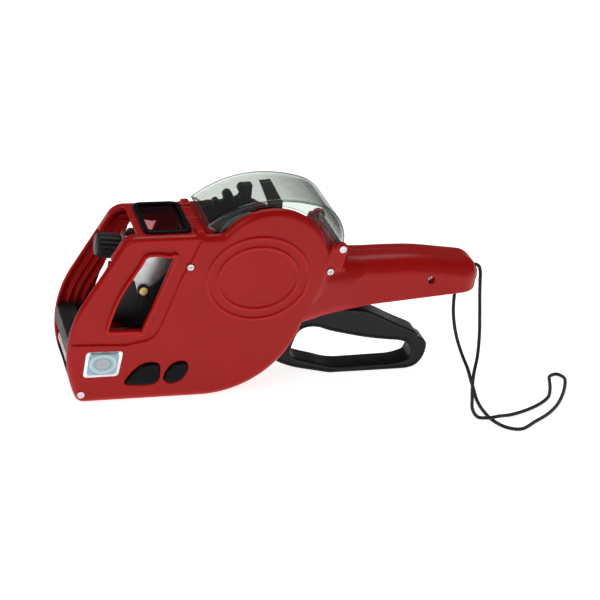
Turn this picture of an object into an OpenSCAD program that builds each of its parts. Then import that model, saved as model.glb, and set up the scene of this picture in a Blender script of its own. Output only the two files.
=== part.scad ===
// Single-line price labelling gun.
// Millimetres. X runs from the nose (-X) to the end of the handle (+X), Y is the width and Z is up.
// The origin is under the middle of the gun, on the surface that it stands on.

/* [Body] */
// Overall length from the nose to the end of the handle
overall_len = 226; // [225:0.5:227]
// Width over the two shells
body_w = 49; // [48.6:0.2:50]
// Height of the flat top in front of the label cover
body_h = 92.5; // [92.2:0.1:92.8]
// Thickness of the moulded walls
wall = 2.2; // [2:0.1:2.4]
// Radius of the rounded long edges of the body
edge_r = 4; // [3.5:0.25:4.5]
// Radius of the nose, seen from the side
nose_r = 59; // [58.5:0.25:59.5]
// Radius of the belly behind the flat bottom
belly_r = 55.7; // [55.5:0.1:56]
// Radius of the hump over the label roll
hump_r = 32; // [31.8:0.1:32.2]

/* [Handle] */
// Width of the handle
handle_w = 28; // [27.6:0.2:28.4]
// Radius of the handle's upper edges
handle_top_r = 10; // [9:0.5:10.5]

/* [Label cover] */
// Width of the clear cover
cover_w = 40; // [39.6:0.2:40]
// Wall thickness of the clear cover
cover_t = 1.6; // [1.4:0.1:1.8]

/* [Hand lever] */
// Width of the lever's loop
lever_w = 14; // [13:0.5:15]
// Travel of the lever in degrees
lever_travel = 15; // [14:0.5:15]

/* [Print head] */
// Angle that the print head is held up at rest, in degrees
head_lift = 7.35; // [7.35]
// Number of digit columns
columns = 6; // [6]
// Distance between digit columns
column_pitch = 2.8; // [2.8]

/* [Cord] */
// Diameter of the wrist cord
cord_d = 2; // [1.8:0.1:2]

/* [Hidden] */
$fn = 64;

red = [0.66, 0.07, 0.07];
black = [0.05, 0.05, 0.055];
steel = [0.75, 0.76, 0.78];
brass = [0.80, 0.62, 0.28];
grey = [0.62, 0.63, 0.64];
clear = [0.75, 0.78, 0.80, 0.35];

// ---- Side outline of the body ----
half_w = body_w / 2;
inner_w = half_w - wall;                 // inner face of the side walls
rim_w = half_w - edge_r - 0.2;           // half the width of the front and top openings
nose = [-overall_len / 2 + nose_r, 27];  // centre of the nose arc
nose_top_a = 147.6;                      // where the nose arc runs into the straight front
corner_r = 5;                            // lower nose corner
brow_r = 10;                             // upper front corner
belly = [-42, belly_r];                  // centre of the belly arc
hump = [-8.5, 73.5];                     // centre of the hump

// ---- Pivots: [x, z] ----
head_pivot = [14, 50];
lever_pivot = [-2, 34];
drive_pin_at = [-17.4, 33];
roll_centre = [-11, 70];
ink_pivot = [-60, 52];
ink_roller_at = [-73, 30.5];
feed_centre = [-36, 13.5];
roller_centre = [-104.8, 19.5];
base_hinge = [-105.3, 5.5];
cover_hinge = [29.2, 82.2];
paper_roller_at = [-58, 8.5];
cord_post_at = [104, 60];
cord_hole = [-5, 61.2];                  // y and z of the hole in the end of the handle
short_screw = [-51, 75.7];      // holds the left shell to the top window's frame
long_screws = [[23.4, 69.8], [84.2, 57]];

// ---- Fits ----
run = 0.05;            // radial running clearance of a pin in its bore
gap = 0.3;             // clearance between parts that pass each other
bezel_x = [-74.6, -49.4];      // front and back of the top window's frame
bezel_half_w = 19.4;
pin_r = 2.5;
feed_shaft_r = 2;
axle_r = 1.5;
screw_r = 1.5;
screw_head_r = 1.8;
boss_r = 3.2;
pivot_boss_r = 5;

// ---- Print head, in the striking position ----
type_z = 23.2;                   // face of the type
selector_z = 65.2;               // axis of the selector knob
wheel_teeth = 20;
pinion_teeth = 12;
gear_m = 0.75;
wheel_z = selector_z - gear_m * (wheel_teeth + pinion_teeth) / 2;
first_column = -66.3;            // middle of the rearmost gear
gear_w = 0.9;
pulley_w = 1.7;
pulley_r = 5.5;
band_t = 0.8;
housing = [-88, -64, 26, 52];    // x from, x to, z from, z to
bracket = [-83.9, -62.7, 52, 71];
rivet_at = [-72.8, 47];
sheet_t = 1.2;
hub_flange_r = 19;

// ---- Wrist cord route: out of the channel, down, over the floor and back into the end ----
cord_route = [
    [102, -6, 57], [101.2, -7, 50], [100.6, -8, 41], [101.4, -9, 31], [104, -10, 20],
    [107.6, -12, 10], [110, -17, 3.5], [109.2, -25, 1.1], [107, -36, 1], [104.6, -48, 1],
    [104, -59, 1], [105.6, -70, 1], [110.4, -78, 1], [118, -80.5, 1], [128, -74, 1],
    [138, -67, 1], [147, -58, 1], [155, -46.5, 1], [161, -35, 1], [162.5, -29, 1],
    [159.8, -25, 1], [155, -27, 1], [152.6, -33, 1], [149.6, -41, 1], [145, -49.6, 1],
    [137, -56.5, 1], [127, -62, 1], [117, -66.4, 1.6], [109, -69.6, 3.1], [103, -70.4, 3],
    [98.6, -66, 1.3], [98.8, -57, 1], [102.6, -46, 1], [107.4, -33, 1.1], [112.4, -21, 2.4],
    [116.6, -13, 9], [117.8, -9, 20], [117.2, -7, 32], [116.2, -6, 43], [115.6, -5.4, 51],
    [115.2, -5, 56.4], [113.8, -5, 60], [111, -5, 61.3], [106.4, -5, 61.2]
];

// ================= helpers =================

// Extrudes an outline drawn in X and Z between two Y values.
module slab(y0, y1) {
    translate([0, y1, 0]) rotate([90, 0, 0]) linear_extrude(y1 - y0) children();
}

// The same outline on both sides of the middle plane.
module both_sides(y0, y1) {
    slab(y0, y1) children();
    slab(-y1, -y0) children();
}

module rod_y(at, r, y0, y1) {
    translate([at[0], y1, at[1]]) rotate([90, 0, 0]) cylinder(r = r, h = y1 - y0);
}

module rod_x(y, z, r, x0, x1) {
    translate([x0, y, z]) rotate([0, 90, 0]) cylinder(r = r, h = x1 - x0);
}

module block(x0, x1, y0, y1, z0, z1) {
    translate([x0, y0, z0]) cube([x1 - x0, y1 - y0, z1 - z0]);
}

// Turns a piece from the striking position to the raised rest position.
module lifted() {
    translate([head_pivot[0], 0, head_pivot[1]]) rotate([0, head_lift, 0])
        translate([-head_pivot[0], 0, -head_pivot[1]]) children();
}

function arc(c, r, a0, a1, n) =
    [for (i = [0:n]) let (a = a0 + (a1 - a0) * i / n) [c[0] + r * cos(a), c[1] + r * sin(a)]];

function ellipse(c, rx, rz, n) =
    [for (i = [0:n - 1]) let (a = 360 * i / n) [c[0] + rx * cos(a), c[1] + rz * sin(a)]];

// Outline of a spur gear with straight-sided teeth, thin enough to run with play.
module gear_outline(teeth, phase) {
    pitch_r = gear_m * teeth / 2;
    root_r = pitch_r - 0.75 * gear_m;
    tip_r = pitch_r + 0.55 * gear_m;
    step = 360 / teeth;
    polygon([for (i = [0:teeth - 1], s = [[-0.27, root_r], [-0.12, tip_r], [0.12, tip_r], [0.27, root_r]])
        let (a = phase + (i + s[0]) * step) [s[1] * cos(a), s[1] * sin(a)]]);
}

// ---- Swept tube through a list of points ----
function unit(v) = v / norm(v);
function spline(p0, p1, p2, p3, t) =
    0.5 * (2 * p1 + (p2 - p0) * t + (2 * p0 - 5 * p1 + 4 * p2 - p3) * t * t
        + (3 * p1 - p0 - 3 * p2 + p3) * t * t * t);
function smooth_path(p, n) = let (k = len(p) - 1)
    concat([for (i = [0:k - 1], j = [0:n - 1])
        spline(p[max(i - 1, 0)], p[i], p[i + 1], p[min(i + 2, k)], j / n)], [p[k]]);
function heading(p, i) = unit(p[min(i + 1, len(p) - 1)] - p[max(i - 1, 0)]);
function carried(side, dir) = unit(side - (side * dir) * dir);
function sides_along(p, i, side) =
    i == len(p) ? [] : let (s = carried(side, heading(p, i))) concat([s], sides_along(p, i + 1, s));
module tube(path, r, sides, first_side) {
    side = sides_along(path, 0, first_side);
    points = [for (i = [0:len(path) - 1], k = [0:sides - 1])
        let (a = 360 * k / sides, s = side[i], t = cross(heading(path, i), s))
        path[i] + r * (cos(a) * s + sin(a) * t)];
    last = (len(path) - 1) * sides;
    faces = concat(
        [[for (k = [0:sides - 1]) k]],
        [[for (k = [sides - 1:-1:0]) last + k]],
        [for (i = [0:len(path) - 2], k = [0:sides - 1])
            let (a = i * sides + k, b = i * sides + (k + 1) % sides) [a, a + sides, b + sides, b]]);
    polyhedron(points, faces, convexity = 10);
}

// ================= outlines =================

module body_outline() {
    brow = [nose[0] + nose_r * cos(nose_top_a) + brow_r * sin(nose_top_a)
        + (body_h - brow_r - nose[1] - nose_r * sin(nose_top_a) - brow_r * cos(nose_top_a))
        * sin(nose_top_a) / -cos(nose_top_a), body_h - brow_r];
    corner_x = nose[0] - sqrt(pow(nose_r - corner_r, 2) - pow(nose[1] - corner_r, 2));
    corner_a = atan2(corner_r - nose[1], corner_x - nose[0]) + 360;
    polygon(concat(
        arc(belly, belly_r, 270, 341, 16),
        [[14, 60], [hump[0], body_h]],
        arc(brow, brow_r, 90, nose_top_a, 6),
        arc(nose, nose_r, nose_top_a, corner_a, 18),
        arc([corner_x, corner_r], corner_r, corner_a, 270, 5)));
}

// The drum's wall: a full circle on the left, low behind the cover's flange on the right.
module drum_wall(full, grow) {
    intersection() {
        translate(hump) circle(r = hump_r + grow, $fn = 72);
        polygon(full ? [[-60, 30], [-60, 120], [60, 120], [60, 30]]
            : [[-60, 30], [-60, body_h + grow], [hump[0], body_h + grow], [26, 79 + grow], [60, 79],
                [60, 30]]);
    }
}

handle_end = [overall_len / 2 - 10, 56.5];

// The handle from the side, carried on below its open underside.
module handle_deep() {
    polygon(concat(
        [[18, 25], [18, 72.5], [32, 71], [45, 70.3], [62, 70.4], [78, 69.9], [93, 68]],
        arc(handle_end, 10, 80, -20, 10),
        [[handle_end[0] + 9, 25]]));
}

module above_underside() {
    polygon([[0, 38.6], [23, 41.5], [handle_end[0] + 6.4, 48.8], [140, 52], [140, 120], [0, 120]]);
}

side_window = [[-72.3, 82.2], [-61.6, 81.1], [-60.6, 78.7], [-74.3, 42.8], [-76, 41.6],
    [-89.6, 41.8], [-91.4, 43.6], [-86, 60.2], [-76, 77.1]];
front_panel = [[-44.6, 93.5], [-49.3, 81.8], [-55.2, 70], [-60.7, 53.9], [-65.6, 41], [-68.2, 37],
    [-71.9, 35.1], [-82.8, 33], [-103.4, 34], [-120, 34.4], [-120, 100], [-60, 100]];
latch_outline = [[-82, 12.2], [-77.5, 18.2], [-72, 21.6], [-66.2, 21.4], [-64.6, 17.8], [-66.6, 10.4],
    [-80.5, 10.2]];
button_outline = [[-61.8, 13], [-59.5, 18.5], [-55.5, 21.3], [-51, 21.2], [-49.8, 17], [-52.5, 12],
    [-56, 10.2], [-60, 10.2]];

module rounded(points, r, grow) {
    offset(r = r + grow, $fn = 24) offset(delta = -r) polygon(points);
}

// ================= shells =================

// Rounded edges as a hull of layers that step in towards the side face. y is negative: the left half.
module rounded_half(half, r) {
    hull() for (a = [0:22.5:90]) {
        y = half - r + r * sin(a);
        slab(-y, a == 0 ? 0 : -y + 0.01) offset(delta = -r * (1 - cos(a)) - 0.001) children();
    }
}

module handle_half() {
    hull() for (a = [0:22.5:90]) {
        y = handle_w / 2 - handle_top_r + handle_top_r * sin(a);
        slab(-y, a == 0 ? 0 : -y + 0.01) intersection() {
            offset(delta = -handle_top_r * (1 - cos(a)) - 0.001) handle_deep();
            above_underside();
        }
    }
}

module blend_half() {
    hull() {
        slab(-half_w + edge_r, 0)
            polygon([[-4, 35], [9.4, 37.8], [17.5, 43], [19.5, 60], [19.5, 73], [-4, 76]]);
        slab(-half_w, -half_w + 0.1) polygon([[-4, 42], [6, 43], [12, 47], [15, 60], [15, 70], [-4, 74]]);
        slab(-handle_w / 2, 0) polygon([[40, 43.2], [44, 43.5], [44, 60], [40, 60]]);
        slab(-handle_w / 2 + handle_top_r, 0) polygon([[40, 43.2], [44, 43.5], [44, 70.2], [40, 70.4]]);
    }
}

module cavity_half(full) {
    slab(-inner_w, 1) offset(delta = -wall) union() {
        body_outline();
        drum_wall(full, 0);
    }
    // The handle's channel steps in under its rounded top: [half the width, depth below the top].
    for (step = [[handle_w / 2 - wall, handle_top_r], [9.7, 4.7], [6.5, 2.6]])
        slab(-step[0], 1) intersection() {
            offset(delta = -step[1]) handle_deep();
            polygon([[16, 20], [120, 20], [120, 80], [16, 80]]);
        }
    slab(-handle_w / 2 + wall, 1) polygon([[0, 38], [26, 38], [26, 61], [12, 66], [0, 70]]);
    slab(-18, 1) polygon([[0, 42], [12, 42.6], [19.6, 44.4], [22, 60], [22, 71], [0, 72]]);
}

// Openings between the two shells: front, view window, label bay, base and lever slot.
module openings_half() {
    slab(-rim_w, 1) polygon([[-130, 7], [-96, 7], [-70, 40], [-70, 79], [-130, 79]]);
    slab(-16.5, 1) polygon([[-130, 70], [-78, 70], [-78, 110], [-130, 110]]);
    slab(-bezel_half_w + 1, 1) translate([bezel_x[0] + 1, 79]) square([bezel_x[1] - bezel_x[0] - 2, 31]);
    slab(-rim_w, 1) polygon([[-38, 86], [10, 72], [22, 76.3], [40, 76.3], [40, 120], [-38, 120]]);
    slab(-19.3, 1) polygon([[-115, -2], [-46.6, -2], [-46.6, 4], [-96, 9], [-115, 9]]);
    slab(-lever_w / 2 - 1.3, 1) polygon([[-16, -5], [36, -5], [36, 43.5], [6, 46], [-16, 22]]);
}

// Distance from the middle plane to the inside of the side wall at a screw.
function wall_inside(at) = at[0] > 30 ? handle_w / 2 - wall : inner_w;

module pivot_boss(at, inner_y) {
    rod_y(at, pivot_boss_r, -inner_w - 0.5, -inner_y);
}

// The left shell without what belongs to one side only.
module shell_half(full) {
    difference() {
        union() {
            difference() {
                union() {
                    rounded_half(half_w, edge_r) body_outline();
                    rounded_half(half_w, edge_r) drum_wall(full, 0);
                    handle_half();
                    blend_half();
                    rod_y([cover_hinge[0] - 0.4, cover_hinge[1] - 0.4], 3.6, -half_w + 0.6, -rim_w - 0.2);
                    slab(-half_w + 0.6, -rim_w - 0.2)
                        polygon([[20, 70], [29, 70], [32, 80], [24, 84]]);
                    // Shelf across the back, under the foot of the cover.
                    slab(-rim_w - 0.3, 0) polygon([[12, 68], [33, 68], [32, 76], [22, 78], [12, 76]]);
                    slab(-rim_w - 1.5, -14) polygon([[-48.5, 90], [-43.4, 90], [-43.8, 94.2], [-47.9, 94.2]]);
                }
                cavity_half(full);
                openings_half();
            }
            for (at = long_screws) rod_y(at, boss_r, -wall_inside(at) - 0.5, 0);
            rod_y(short_screw, boss_r, -inner_w - 0.5, -20);
            pivot_boss(head_pivot, 13.6);
            pivot_boss(lever_pivot, 14.2);
            pivot_boss(feed_centre, 14.6);
            pivot_boss(roll_centre, 12.8);
            rod_y(ink_pivot, boss_r, -inner_w - 0.5, -15.4);
            rod_y(ink_pivot, axle_r, -inner_w - 0.5, -13.8);
            slab(-half_w - 0.8, -half_w + 1.2) difference() {
                rounded(side_window, 2.2, 1.8);
                rounded(side_window, 2.2, 0);
            }
            slab(-half_w - 0.5, -half_w + 0.5) difference() {
                polygon(ellipse([-15, 67.7], 27.5, 23.6, 64));
                polygon(ellipse([-15, 67.7], 26.1, 22.2, 64));
            }
        }
        slab(-half_w - 3, -inner_w + 2) rounded(side_window, 2.2, 0);
        difference() {
            slab(-half_w - 0.4, -half_w + 0.9) polygon(front_panel);
            slab(-half_w - 1, -half_w + 2) rounded(side_window, 2.2, 1.9);
        }
        slab(-half_w - 1, -inner_w + 1) rounded(latch_outline, 1.5, gap);
        slab(-half_w - 1, -inner_w + 1) rounded(button_outline, 3, gap);
        rod_y(head_pivot, pin_r, -inner_w, 0);
        rod_y(lever_pivot, pin_r, -inner_w, 0);
        rod_y(roll_centre, pin_r, -inner_w, 0);
        rod_y(feed_centre, feed_shaft_r + run, -inner_w, 0);
        rod_y(base_hinge, axle_r, -half_w - 1, -rim_w + 2);
        rod_y(base_hinge, 1.9, -half_w - 1, -half_w + 0.6);
        rod_y(cover_hinge, axle_r, -half_w - 1, -rim_w + 2);
        for (at = long_screws) rod_y(at, screw_r + run, -wall_inside(at), 1);
        rod_y(short_screw, screw_r + run, -inner_w, -10);
    }
}

// Each screw head sits in a counterbore in the left shell, a deep one along the handle.
function screw_seat(at) = at[0] > 30 ? -handle_w / 2 + 4 : -half_w + 1.1;

module left_shell() {
    color(red) difference() {
        shell_half(true);
        for (at = concat([short_screw], long_screws)) {
            rod_y(at, screw_head_r + 0.2, -half_w - 2, screw_seat(at));
            rod_y(at, screw_r + run, -half_w - 2, 1);
        }
        rod_x(cord_hole[0], cord_hole[1], cord_d / 2 + 0.5, overall_len / 2 - 6, overall_len / 2 + 4);
    }
}

module right_shell() {
    color(red) mirror([0, 1, 0]) shell_half(false);
}

module shell_screws() {
    color(steel) for (at = concat([short_screw], long_screws)) {
        rod_y(at, screw_r, screw_seat(at), at == short_screw ? -14.6 : 10);
        translate([at[0], screw_seat(at), at[1]]) rotate([90, 0, 0]) difference() {
            rotate_extrude() polygon([[0, 0], [screw_head_r, 0], [screw_head_r, 0.8], [1.7, 1.35], [0, 1.5]]);
            for (a = [0, 90]) rotate([0, 0, a]) translate([-1.4, -0.25, 0.7]) cube([2.8, 0.5, 2]);
        }
    }
}

module foil_sticker() {
    color(grey) slab(-half_w - 0.25, -half_w)
        polygon([[-103, 30.2], [-83.9, 29.9], [-86.2, 15.5], [-104.6, 15.5]]);
}

// ================= top window =================

module bezel_plan(grow) {
    length = bezel_x[1] - bezel_x[0];
    translate([bezel_x[0] - grow, -bezel_half_w - grow]) offset(r = 5, $fn = 32) offset(delta = -5)
        square([length + 2 * grow, 2 * (bezel_half_w + grow)]);
}

module view_bezel() {
    color(black) difference() {
        union() {
            translate([0, 0, body_h]) linear_extrude(1.5) bezel_plan(0);
            translate([0, 0, body_h - 4]) linear_extrude(4.2) intersection() {
                bezel_plan(-1.2);
                translate([-80, -bezel_half_w + 1.2]) square([60, 2 * bezel_half_w - 2.4]);
            }
            both_sides(bezel_half_w - 4.4, bezel_half_w - 1.2)
                polygon([[-54.6, 73.6], [-52.4, 71.8], [-51, 71.8], [-50.6, 90], [-54.6, 90]]);
        }
        rod_y(short_screw, screw_r + run, -30, -14);
        translate([0, 0, body_h - 5]) linear_extrude(8) bezel_plan(-4);
        translate([0, 0, body_h - 1]) linear_extrude(4) bezel_plan(-2.6);
    }
}

module view_lens() {
    color([0.25, 0.05, 0.08, 0.5]) translate([0, 0, body_h - 1]) linear_extrude(1.8) bezel_plan(-2.65);
}

// ================= label cover =================

cover_front = -43;
cover_top = [-6, 109.4];
front_c = [cover_top[0], 51.2];
rear_c = [cover_top[0], 36.4];
tail_c = [9.45, 85.3];

function cover_arcs(t) = concat(
    arc(front_c, cover_top[1] - front_c[1] - t, 129.4, 90, 12),
    arc(rear_c, cover_top[1] - rear_c[1] - t, 90, 72.6, 5),
    arc(tail_c, 21.7 - t, 72.4, -8, 12));

// A side of the cover, down to the drum's wall.
module cover_flange(full) {
    difference() {
        polygon(concat(cover_arcs(0), [[24.5, 77.2], hump, [-37.4, 92.8], [-43, 94.7]]));
        drum_wall(full, 0.4);
    }
}

module label_cover() {
    color(clear) difference() {
        union() {
            slab(-cover_w / 2, cover_w / 2) difference() {
                polygon(concat(cover_arcs(0), [tail_c, [-8, 80], [-43, 94.7]]));
                polygon(concat(cover_arcs(cover_t), [[60, 77], [-8, 60], [-60, 80], [-60, 94.5]]));
            }
            slab(-cover_w / 2, -cover_w / 2 + cover_t) cover_flange(true);
            slab(cover_w / 2 - cover_t, cover_w / 2) cover_flange(false);
            both_sides(cover_w / 2 - 3, cover_w / 2) translate(cover_hinge) circle(r = 4);
            slab(-9, 9) polygon([[-43.4, 94.7], [-40.5, 94.7], [-40.5, 97.2], [-42.6, 97.6]]);
        }
        rod_y(cover_hinge, axle_r + run, -30, 30);
    }
}

module cover_hinge_pin() {
    color(steel) {
        rod_y(cover_hinge, axle_r, -half_w + 0.4, half_w - 0.4);
        rod_y(cover_hinge, 1.9, -half_w - 0.2, -half_w + 0.6);
        rod_y(cover_hinge, 1.9, half_w - 0.6, half_w + 0.2);
    }
}

module roll_shaft() {
    color(steel) rod_y(roll_centre, pin_r, -inner_w + 0.2, inner_w - 0.2);
}

module roll_hub() {
    color(grey) difference() {
        union() {
            rod_y(roll_centre, 8, -11.2, 11.2);
            for (side = [-1, 1]) rod_y(roll_centre, hub_flange_r, side * 11.8 - 0.6, side * 11.8 + 0.6);
        }
        rod_y(roll_centre, pin_r + run, -13, 13);
        for (a = [30:60:330]) translate([roll_centre[0] + 14 * cos(a), 0, roll_centre[1] + 14 * sin(a)])
            rotate([90, 0, 0]) cylinder(r = 3.6, h = 30, center = true);
    }
}

module roll_brake_comb() {
    color(black) slab(13, cover_w / 2 - 1.9) {
        polygon([[-37.6, 82], [-12, 86], [-11.4, 104], [-14.6, 104], [-18, 97], [-21, 95.4], [-28, 94.4],
            [-37.6, 92]]);
        for (tooth = [[-34.6, 92.2, 1.6], [-30, 94.2, 1.8], [-24, 98, 2.5], [-16.2, 101.4, 2.6]])
            translate([tooth[0], tooth[1]]) circle(r = tooth[2]);
        translate([-24, 95.6]) square([4, 5], center = true);
    }
    color(black) rod_y([-24, 86], 2.4, cover_w / 2 - 2, inner_w);
}

module roll_tension_arm() {
    color(black) slab(13, cover_w / 2 - 1.9) {
        polygon([[-7, 104.8], [-0.8, 105.2], [5.8, 93.8], [5.4, 82.2], [1, 81.8], [-2, 93.4]]);
        translate([3.2, 82.4]) circle(r = 2.6);
    }
    color(black) rod_y([3.2, 82.4], 2, cover_w / 2 - 2, inner_w);
}

// ================= hand lever =================

lever_outer = [
    [30, 39], [44, 38], [52, 36.6], [59.5, 33.4], [67.1, 29.4], [74.8, 25.6], [80.5, 22.9], [82.6, 21.2],
    [83, 19.6], [87.4, 16.6], [88.4, 13.3], [87.4, 7.6], [84, 2.6], [79, 0.4], [70.6, 0], [38, 0], [33, 0.2],
    [25.4, 1.9], [16, 4], [10.2, 5.8], [4, 8.6], [-2.4, 14], [-7, 22], [-8.4, 29.5], [-8.4, 36], [-2, 40.8],
    [8, 40.6]];
lever_hole = [
    [11.5, 18], [14, 25], [18, 28.2], [24.7, 28.4], [32, 25.8], [42.8, 22.9], [53.7, 20.4], [64.5, 18.6],
    [72.6, 17.5], [77, 15.5], [80, 11.5], [79.5, 8], [77.6, 5.8], [70.4, 4], [59.5, 3.7], [45, 3.5],
    [37.9, 3.6], [32, 4.6], [25.4, 6.7], [18.2, 8.8], [13, 10.8], [10.8, 14]];

module hand_lever() {
    color(black) difference() {
        union() {
            slab(-lever_w / 2, lever_w / 2) difference() {
                polygon(lever_outer);
                polygon(lever_hole);
            }
            rod_y(lever_pivot, 6.6, -lever_w / 2, lever_w / 2);
            slab(-lever_w / 2, lever_w / 2)
                polygon([[-4, 28.2], [-16, 29.4], [-21, 32], [-21, 35], [-17, 37], [-4, 40.4]]);
        }
        // A shallow recess on both flanks leaves a rim round the loop.
        for (side = [-1, 1]) translate([0, side * lever_w / 2, 0])
            slab(-0.7, 0.7) difference() {
                offset(delta = -2.4) difference() {
                    polygon(lever_outer);
                    polygon(lever_hole);
                }
                translate(lever_pivot) circle(r = 7);
            }
        rod_y(lever_pivot, pin_r + run, -15, 15);
        rod_y(drive_pin_at, 2, -15, 15);
    }
}

module lever_pivot_pin() {
    color(steel) rod_y(lever_pivot, pin_r, -inner_w + 0.2, inner_w - 0.2);
}

module drive_pin() {
    color(steel) rod_y(drive_pin_at, 2, -14, 14);
}

// Torsion spring round the lever's pivot, with one leg on the right shell's boss.
module return_spring() {
    turns = 3;
    steps = 16;
    path = concat(
        [[lever_pivot[0] - 6.4, 13.3, lever_pivot[1] - 3.6]],
        [for (i = [0:turns * steps]) let (a = -90 - 360 * i / steps)
            [lever_pivot[0] + 3.7 * cos(a), 13.3 - 5.7 * i / (turns * steps),
                lever_pivot[1] + 3.7 * sin(a)]]);
    color(steel) tube(path, 0.4, 6, [0, 1, 0]);
}

// ================= print head =================

arm_outline = [
    [14, 45], [19, 50], [14, 55], [9, 54], [-10, 46], [-28, 43.5], [-44, 50], [-52, 60], [-56, 66],
    [-59.7, 65.2], [-62.4, 57.9], [-66.7, 51.8], [-73.2, 45.6], [-74.4, 37], [-64, 36], [-46, 37.4],
    [-26, 34.6], [-20.4, 30], [-19.4, 25.6], [-12.2, 25.6], [-10, 31], [-4, 38.4]];

module head_arm() {
    slot = [-15.8, 29.1];
    color(steel) lifted() {
        difference() {
            union() {
                both_sides(12, 12 + sheet_t) {
                    polygon(arm_outline);
                    translate(head_pivot) circle(r = 5.4);
                    translate(rivet_at) circle(r = 3.1);
                }
                block(-58, -55, -12.1, 12.1, 46, 50);
            }
            rod_y(head_pivot, pin_r + run, -20, 20);
            rod_y(rivet_at, 1.2, -20, 20);
            rod_y([slot[0] - 1.1, slot[1]], 2.3, -20, 20);
            rod_y([slot[0] + 1.1, slot[1]], 2.3, -20, 20);
            block(slot[0] - 1.1, slot[0] + 1.1, -20, 20, slot[1] - 2.3, slot[1] + 2.3);
        }
    }
}

module head_pivot_pin() {
    color(steel) rod_y(head_pivot, pin_r, -inner_w + 0.2, inner_w - 0.2);
}

module head_bracket() {
    x0 = bracket[0];
    x1 = bracket[1];
    z0 = bracket[2];
    z1 = bracket[3];
    color(steel) lifted() difference() {
        union() {
            block(x0, x1, -11.9, 11.9, z0, z0 + sheet_t);
            both_sides(10.7, 11.9) difference() {
                polygon([[x0, z0 + 3], [-78, z0 - 0.5], [-75.4, 45], [-70, 44.4], [-62, z0], [-58, 66],
                    [x1, z1], [x0 + 4, z1],
                    [x0, z1 - 5]]);
                translate(rivet_at) circle(r = 1.2);
            }
            block(x0, x0 + sheet_t, -11.9, 11.9, z0, z1 - 2);
            block(x1 - sheet_t, x1, -11.9, 11.9, z0, z1);
        }
        rod_x(0, selector_z, 2.05, x0 - 1, x1 + 1);
        rod_x(5.5, selector_z + 2.6, 1, x0 - 1, x1 + 1);
        rod_x(0, wheel_z, axle_r, x0 - 1, x1 + 1);
        block(x0 + sheet_t, x1 - sheet_t, -8.6, 8.6, z0 - 1, z0 + 3);
    }
}

module head_housing() {
    color(black) lifted() difference() {
        block(housing[0], housing[1], -10.5, 10.5, housing[2], housing[3]);
        block(housing[0] + 2.6, housing[1] - 1.2, -8.4, 8.4, housing[2] - 1, housing[3] + 1);
        rod_x(0, wheel_z, axle_r, housing[0] - 1, housing[1] + 2);
    }
}

// A brass rivet on each side joins the arm to the bracket.
module bracket_rivets() {
    color(brass) lifted() both_sides(10.7, 13.8) translate(rivet_at) circle(r = 1.2);
    color(brass) lifted() both_sides(12 + sheet_t, 13.8) translate(rivet_at) circle(r = 2.2);
}

function column_x(i) = first_column - i * column_pitch;

module band_axle() {
    color(steel) lifted() rod_x(0, wheel_z, axle_r, bracket[0], bracket[1]);
}

module band_wheel(i) {
    color(grey) lifted() difference() {
        union() {
            translate([column_x(i) - gear_w / 2, 0, wheel_z]) rotate([0, 90, 0])
                linear_extrude(gear_w) gear_outline(wheel_teeth, 0);
            rod_x(0, wheel_z, pulley_r, column_x(i) - gear_w / 2 - pulley_w, column_x(i));
        }
        rod_x(0, wheel_z, axle_r + run, column_x(i) - 5, column_x(i) + 5);
    }
}

module band_wheel_1() { band_wheel(0); }
module band_wheel_2() { band_wheel(1); }
module band_wheel_3() { band_wheel(2); }
module band_wheel_4() { band_wheel(3); }
module band_wheel_5() { band_wheel(4); }
module band_wheel_6() { band_wheel(5); }

// One digit band seen along X: round over its wheel and flat over the anvil.
module band_outline(r, foot, bottom) {
    translate([0, wheel_z]) circle(r = r);
    polygon([[-r, wheel_z], [-foot, bottom + 3], [-foot + 1.2, bottom], [foot - 1.2, bottom], [foot, bottom + 3],
        [r, wheel_z]]);
}

module digit_bands() {
    color(black) lifted() for (i = [0:columns - 1])
        translate([column_x(i) - gear_w / 2 - pulley_w + 0.2, 0, 0]) rotate([90, 0, 90])
            linear_extrude(pulley_w - 0.4) difference() {
                band_outline(pulley_r + 0.1 + band_t, 5.2, type_z);
                band_outline(pulley_r + 0.1, 5.2 - band_t, type_z + band_t);
            }
}

module type_anvil() {
    color(grey) lifted() difference() {
        union() {
            translate([column_x(columns - 1) - 4, 0, 0]) rotate([90, 0, 90])
                linear_extrude(column_x(0) - column_x(columns - 1) + 5)
                    polygon([[-3.1, type_z + band_t + 0.1], [3.1, type_z + band_t + 0.1], [4.2, type_z + 4],
                        [4.4, 32], [-4.4, 32], [-4.2, type_z + 4]]);
            for (x = [housing[0] + 2.6, housing[1] - 2.7]) block(x, x + 1.5, -8.4, 8.4, 29, 33);
        }
    }
}

// Brass leaf comb that indexes the wheels, one finger for each column.
module detent_spring() {
    color(brass) lifted() {
        block(column_x(columns - 1) - 1.4, column_x(0) + 1, -9.6, -9, bracket[2] + sheet_t, 55.4);
        for (i = [0:columns - 1])
            block(column_x(i) - 0.9, column_x(i) + 0.9, -9.6, -9, 55, 61);
    }
}

// ================= selector =================

knob_x = [-98.9, -84.4];
module selector_shaft() {
    color(steel) lifted() rod_x(0, selector_z, 2, knob_x[0] + 3, bracket[1] + 15.5);
}

module selector_pinion() {
    color(brass) lifted() difference() {
        translate([column_x(0) - gear_w / 2, 0, selector_z]) rotate([0, 90, 0])
            linear_extrude(gear_w) gear_outline(pinion_teeth, 180 / pinion_teeth);
        rod_x(0, selector_z, 2, -90, -50);
    }
}

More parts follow.
